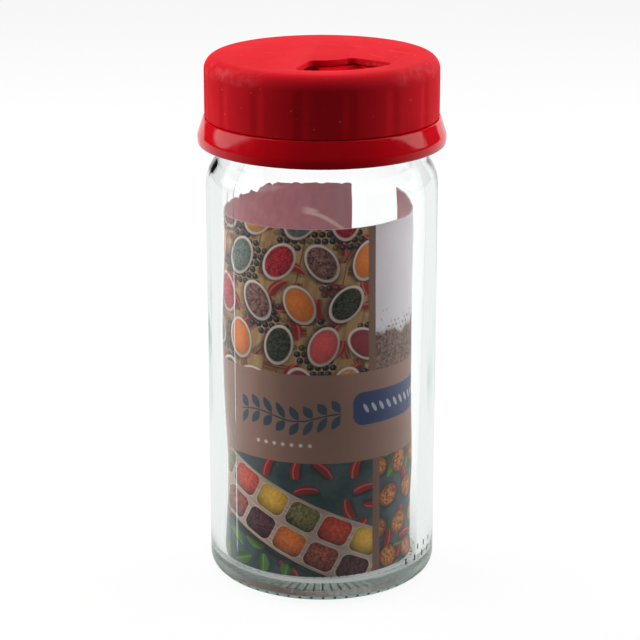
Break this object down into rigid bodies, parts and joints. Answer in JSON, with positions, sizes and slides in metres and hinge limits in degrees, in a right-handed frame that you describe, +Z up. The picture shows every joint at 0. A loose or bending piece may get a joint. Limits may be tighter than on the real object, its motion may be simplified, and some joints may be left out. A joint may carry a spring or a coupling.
{
  "type": "spice jar",
  "caption": "Straight round clear glass spice jar with a rolled printed card inside and a red screw lid whose fluted cap turns to open a pouring hole or shaker holes.",
  "frame": {"origin": "centre of the jar's foot, on the surface it stands on", "axes": "+Z up along the jar's axis; the front, where the pouring window and the middle of the print face, is -Y; +X to the right seen from the front"},
  "size_m": [0.0534, 0.0534, 0.1157],
  "materials": {
    "clear_glass": "clear, polished, slightly wavy",
    "printed_card": "coated card, printed outside, muted pink inside",
    "seal_white": "soft foam",
    "gloss_red": "glossy moulded",
    "matte_red": "matte moulded, lightly scuffed"
  },
  "bodies": {
    "jar": {"glass_jar": "clear_glass", "label_card": "printed_card"},
    "lid_lifter": {"seal_ring": "seal_white"},
    "collar": {"screw_collar": "gloss_red"},
    "cap": {"turning_cap": "matte_red"}
  },
  "joints": [
    {"name": "lid_lift", "type": "slide", "parent": "jar", "child": "lid_lifter", "axis": [0, 0, 1], "range_m": [0, 0.03]},
    {"name": "lid_unscrew", "type": "hinge", "parent": "lid_lifter", "child": "collar", "pos_m": [0, 0, 0.107], "axis": [0, 0, 1], "range_deg": [0, 360]},
    {"name": "cap_turn", "type": "hinge", "parent": "collar", "child": "cap", "pos_m": [0, 0, 0.107], "axis": [0, 0, 1], "range_deg": [-54, 162]}
  ]
}
